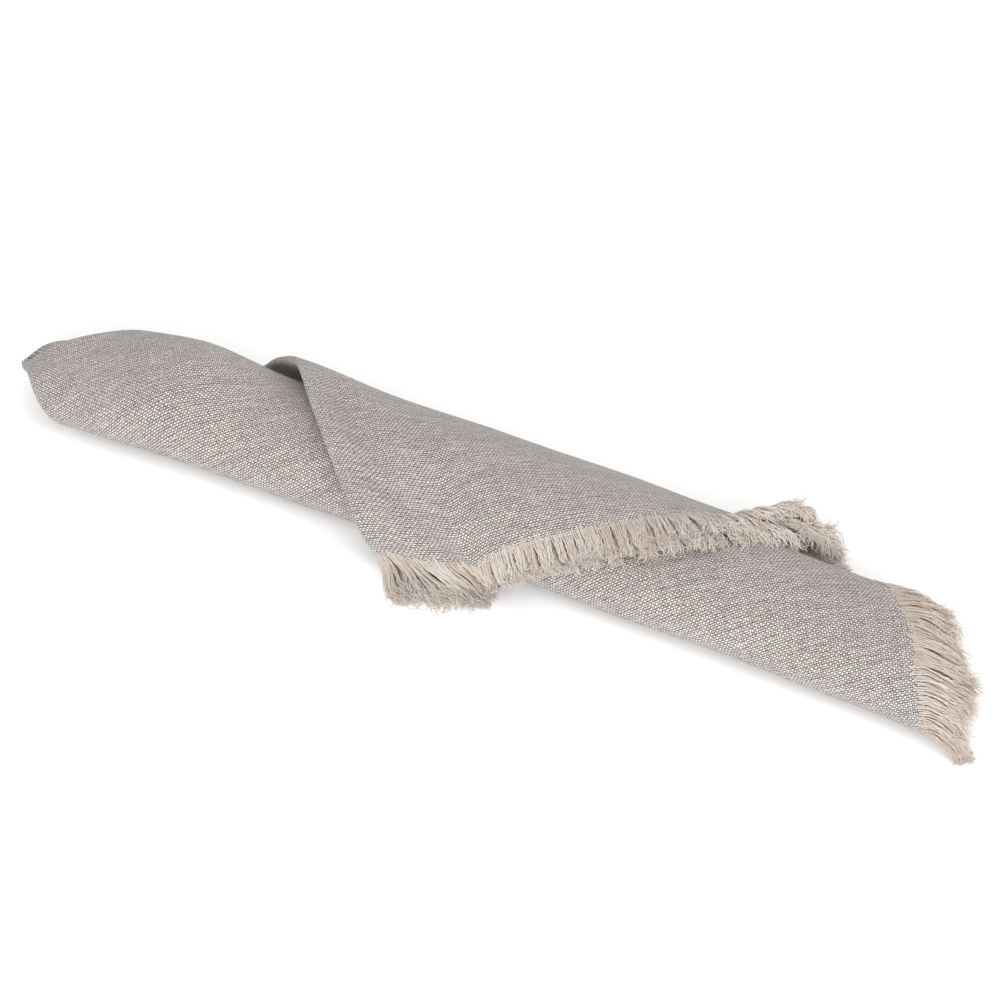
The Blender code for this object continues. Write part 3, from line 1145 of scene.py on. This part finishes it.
    def headings(
        self, along: Array, ply: Array, by_tuft: Array, by_thread: Array, own: Array
    ) -> tuple[Array, Array, Array]:
        """Steps of all strands, as the stations say and with small differences.

        Args:
            along: Place of each strand along the edge.
            ply: Number of its ply.
            by_tuft: Differences of its tuft: size, lean, turn, dive and rise.
            by_thread: Differences of its thread: size, lean, rise and phase.
            own: Differences of its own: lean, turn, dive and tone.

        Returns:
            Steps (strand, step, out-side-up) in mm, and each strand's freedom and weight.
        """
        places = [s.along for s in self.stations]
        lean, rise, reach, free, weight = (
            np.interp(along, places, [getattr(s, key) for s in self.stations])
            for key in ("lean", "rise", "reach", "free", "weight")
        )
        upper = np.where(ply < 2, self.upper_share, 1.0)
        size = 1.0 + self.tuft_length * by_tuft[0] + self.thread_length * by_thread[0]
        length = self.length * reach * upper * size
        step = (np.arange(self.joints - 1)[None, :] + 0.5) / (self.joints - 1)
        hook = ease((step - self.hook_start) / (1.0 - self.hook_start))
        aside = self.thread_lean * (by_thread[1] + self.strand_lean * own[0])
        aside = lean + self.tuft_lean * by_tuft[1] + aside
        turn = self.tuft_hook * by_tuft[2] + self.own_hook * own[1]
        dive = self.own_hook * own[2] - abs(self.tuft_hook * by_tuft[3])
        theta = np.radians(aside[:, None] + turn[:, None] * hook)
        up = self.rise_share * rise + self.rise_scatter * (by_tuft[4] + by_thread[2])
        up = up[:, None] * (1.0 - self.rise_loss * step)
        phi = np.radians(up + dive[:, None] * hook)
        heading = (np.cos(phi) * np.cos(theta), np.cos(phi) * np.sin(theta), np.sin(phi))
        heading = np.stack(heading, -1) * (length[:, None, None] / (self.joints - 1))
        return heading, free, weight

    def wander(self, t: Array, phase: Array, rng: np.random.Generator, count: int) -> Array:
        """Small waves of each strand, and how the strands of one thread part towards their tips.

        Args:
            t: Share of the strand's length, one row.
            phase: The thread's own number.
            rng: Source of the waves.
            count: Number of strands.

        Returns:
            Offsets (strand, joint, out-side-up) in mm.
        """
        waves = np.zeros((count, 2, t.shape[1]))
        growth = (t**self.wave_growth)[:, None]
        for size, most in ((self.sway, self.sway_cycles), (self.crinkle, self.crinkle_cycles)):
            cycles = rng.uniform(*most, (count, 2, 1))
            start = rng.uniform(0.0, 2.0 * math.pi, (count, 2, 1))
            waves += size * np.sin(2.0 * math.pi * cycles * t[:, None] + start) * growth
        share = (np.arange(count) % self.filaments) / self.filaments
        around = (self.lay_start * phase + 2.0 * math.pi * share)[:, None] + self.lay_turn * t
        apart = self.apart + self.parting * t**2
        side = waves[:, 0] + apart * np.cos(around)
        height = waves[:, 1] + apart * np.sin(around)
        return np.stack((np.zeros_like(side), side, height), -1)

    def following(self, p0: Array, q0: Array, lift0: Array, path: Array) -> Array:
        """Strands laid on the wound form.

        Args:
            p0: Root's p.
            q0: Root's q.
            lift0: Root's height in the stack.
            path: Way out, to the side and up from the root, in mm.

        Returns:
            Points in metres.
        """
        out, side, height = path[:, :, 0], path[:, :, 1], path[:, :, 2]
        if self.edge is FringedEdge.END:
            out, side = side, out
        lift = np.maximum(lift0[:, None] + height, self.lowest)
        return self.form.place(p0[:, None] + out, q0[:, None] + side, lift)

    def hanging(
        self,
        p0: Array,
        q0: Array,
        lift0: Array,
        heading: Array,
        wander: Array,
        inset: Array,
        weight: Array,
    ) -> Array:
        """Strands that leave the cloth straight and bend down by their weight.

        Args:
            p0: Root's p.
            q0: Root's q.
            lift0: Root's height in the stack.
            heading: Each step out, to the side and up, in mm.
            wander: Offsets out, to the side and up, in mm.
            inset: How far each strand starts inside the weave, in mm.
            weight: How strongly each strand bends down.

        Returns:
            Points in metres.
        """
        root = self.form.place(p0, q0, lift0)
        by_p = self.form.place(p0 - 1.0, q0, lift0)
        by_q = self.form.place(p0, q0 - 1.0, lift0)
        out, side, hand = root - by_p, root - by_q, 1.0
        if self.edge is FringedEdge.END:
            out, side, hand = side, out, -1.0
        out = out / np.linalg.norm(out, axis=1, keepdims=True)
        up = np.cross(out, side) * hand
        up = up / np.linalg.norm(up, axis=1, keepdims=True)
        side = np.cross(up, out) * hand
        axes = np.stack((out, side, up), 1)
        steps = np.einsum("nki,nij->nkj", heading, axes)
        size = np.linalg.norm(steps, axis=2, keepdims=True)
        fall = np.linspace(0.0, 1.0, steps.shape[1])[None, :, None] ** self.fall_growth
        steps = steps / size
        steps[:, :, 2:] -= weight[:, None, None] * fall
        steps = steps / np.linalg.norm(steps, axis=2, keepdims=True) * size
        path = np.concatenate((np.zeros((len(p0), 1, 3)), np.cumsum(steps, axis=1)), axis=1)
        path = path + np.einsum("nki,nij->nkj", wander, axes)
        path[:, 0] -= out * inset[:, None]
        return root[:, None, :] + path * MM

    def build(self, material: bpy.types.Material) -> bpy.types.Object:
        """Make the fringe as thin tapering tubes.

        Args:
            material: Finish of the threads.

        Returns:
            The fringe's object.
        """
        middle, tone, depth = self.strands()
        count, joints = middle.shape[:2]
        along = np.gradient(middle, axis=1)
        along /= np.maximum(np.linalg.norm(along, axis=2, keepdims=True), NO_LENGTH)
        across = np.cross(along, SLANTED_UP)
        across /= np.maximum(np.linalg.norm(across, axis=2, keepdims=True), NO_LENGTH)
        over = np.cross(across, along)
        t = np.linspace(0.0, 1.0, joints)
        radius = self.radius * MM * (1.0 - self.taper * t**3)
        angles = np.arange(self.sides) * (2.0 * math.pi / self.sides)
        rings = (
            middle[:, :, None, :]
            + across[:, :, None, :] * (np.cos(angles)[None, None, :, None] * radius[None, :, None, None])
            + over[:, :, None, :] * (np.sin(angles)[None, None, :, None] * radius[None, :, None, None])
        )
        number = np.arange(count * joints * self.sides).reshape(count, joints, self.sides)
        turned = np.roll(number, -1, axis=2)
        corners = (number[:, :-1], turned[:, :-1], turned[:, 1:], number[:, 1:])
        faces = np.stack(corners, -1).reshape(-1, 4)
        piece = make_piece(self.name, rings.reshape(-1, 3), faces, material)
        shape = (count, joints, self.sides)
        self.carry(piece, "thread_tone", np.broadcast_to(tone[:, None, None], shape))
        self.carry(piece, "thread_depth", np.broadcast_to(depth[:, None, None], shape))
        self.carry(piece, "thread_reach", np.broadcast_to(t[None, :, None], shape))
        return piece

    def carry(self, piece: bpy.types.Object, name: str, values: Array) -> None:
        """Store a value for each vertex of the fringe."""
        layer = piece.data.attributes.new(name, "FLOAT", "POINT")
        layer.data.foreach_set("value", np.ascontiguousarray(values, dtype=np.float32).ravel())


@dataclass
class TableTop:
    """Plain pale surface that the napkin lies on; not part of it."""

    finish: TableFinish
    name: str = "table_top"
    half: float = 2.5
    height: float = -0.0002

    def build(self) -> bpy.types.Object:
        """Make the surface.

        Returns:
            The surface's object.
        """
        corners = [(-1, -1), (1, -1), (1, 1), (-1, 1)]
        points = np.array([(x * self.half, y * self.half, self.height) for x, y in corners])
        piece = make_piece(self.name, points, np.array([[0, 1, 2, 3]]), self.finish.make())
        return piece


@dataclass(frozen=True)
class SoftLamp:
    """One large soft lamp that looks at the napkin."""

    name: str
    azimuth: float
    elevation: float
    distance: float
    size: float
    power: float

    def build(self) -> bpy.types.Object:
        """Hang the lamp.

        Returns:
            The lamp's object.
        """
        lamp = bpy.data.lights.new(self.name, "AREA")
        lamp.shape = "DISK"
        lamp.size = self.size
        lamp.energy = self.power
        hung = bpy.data.objects.new(self.name, lamp)
        away = outward(self.azimuth, self.elevation)
        hung.location = away * self.distance
        hung.rotation_euler = away.to_track_quat("Z", "Y").to_euler()
        bpy.context.scene.collection.objects.link(hung)
        return hung


@dataclass
class Studio:
    """Even pale surroundings and soft lamps, the main one low in front."""

    surround: float = 0.92
    lamps: tuple[SoftLamp, ...] = (
        SoftLamp("front_lamp", 24.0, 26.0, 1.6, 0.9, 15.0),
        SoftLamp("side_lamp", 80.0, 36.0, 1.6, 0.9, 4.5),
        SoftLamp("top_lamp", 40.0, 75.0, 1.8, 1.2, 3.0),
    )

    def build(self) -> None:
        """Light the scene and show its colours plainly."""
        world = bpy.data.worlds.new("pale_surroundings")
        world.use_nodes = True
        world.node_tree.nodes["Background"].inputs["Strength"].default_value = self.surround
        world.node_tree.nodes["Background"].inputs["Color"].default_value = (1.0, 1.0, 1.0, 1.0)
        scene = bpy.context.scene
        scene.world = world
        scene.view_settings.view_transform = "Standard"
        for lamp in self.lamps:
            lamp.build()


@dataclass(frozen=True)
class PhotographCamera:
    """Camera at the photograph's angle, for a square picture."""

    azimuth: float = 24.87
    elevation: float = 47.38
    distance: float = 0.777
    lens: float = 100.0
    target: tuple[float, float, float] = (-0.00004, 0.00475, 0.01232)

    def build(self) -> bpy.types.Object:
        """Set up the camera and make it the scene's own.

        Returns:
            The camera's object.
        """
        lens = bpy.data.cameras.new("photograph_camera")
        lens.lens = self.lens
        lens.sensor_width = 36.0
        lens.clip_start = 0.01
        camera = bpy.data.objects.new("photograph_camera", lens)
        away = outward(self.azimuth, self.elevation)
        camera.location = Vector(self.target) + away * self.distance
        camera.rotation_euler = away.to_track_quat("Z", "Y").to_euler()
        bpy.context.scene.collection.objects.link(camera)
        bpy.context.scene.camera = camera
        return camera


@dataclass(frozen=True)
class ThreadLayer:
    """Two neighbouring plies whose threads lie together, and how those differ from the other layer's."""

    name: str
    plies: tuple[Ply, Ply]
    gather: float
    rise_share: float


@dataclass
class FoldedNapkin:
    """The whole napkin: one woven square and the fringes of its two raw sides."""

    form: RollForm = field(default_factory=RollForm)
    fold: NapkinFold = field(default_factory=NapkinFold)
    flap_seed: int = 11
    end_seed: int = 23
    layers: tuple[ThreadLayer, ...] = (
        ThreadLayer("upper", (Ply.OUTER, Ply.UPPER_MIDDLE), 0.29, 1.0),
        ThreadLayer("lower", (Ply.LOWER_MIDDLE, Ply.INNER), 0.14, 0.5),
    )

    def fringes(self) -> list[ThreadFringe]:
        """The two raw edges' threads, the upper two plies apart from the lower two.

        Returns:
            The fringes, not yet built.
        """
        found = []
        for number, layer in enumerate(self.layers):
            flap = ThreadFringe(
                self.form,
                self.fold,
                FringedEdge.FLAP,
                layer.plies,
                flap_stations(),
                self.flap_seed + number,
                "flap_threads_" + layer.name,
                first_tufts=(4.5, 12.0, 20.0),
                gather=layer.gather,
                rise_share=layer.rise_share,
            )
            end = ThreadFringe(
                self.form,
                self.fold,
                FringedEdge.END,
                layer.plies,
                end_stations(),
                self.end_seed + number,
                "end_threads_" + layer.name,
                gather=layer.gather,
                length=18.5,
                tuft_hook=20.0,
                tuft_low=3.5,
                tuft_high=7.0,
                upper_share=0.95,
                rosiness=0.62,
            )
            found += [flap, end]
        return found

    def build(self, table: bpy.types.Object) -> list[bpy.types.Object]:
        """Make all pieces and hide the frame's parts that they stand in for.

        Args:
            table: What the napkin lies on; not used.

        Returns:
            The pieces made.
        """
        cloth = WovenSquare(self.form, self.fold, WovenFinish()).build()
        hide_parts("folded_cloth")
        threads = ThreadFinish().make()
        made = [cloth]
        for fringe in self.fringes():
            piece = fringe.build(threads)
            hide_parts(fringe.edge.value)
            made.append(piece)
        for piece in made:
            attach(piece, "root")
            LOG.info("%s: %d faces", piece.name, len(piece.data.polygons))
        return made


def main() -> None:
    """Build the scene in order."""
    logging.basicConfig(level=logging.INFO, format="%(name)s: %(message)s")
    table = TableTop(TableFinish()).build()
    FoldedNapkin().build(table)
    Studio().build()
    PhotographCamera().build()


if __name__ == "__main__":
    main()
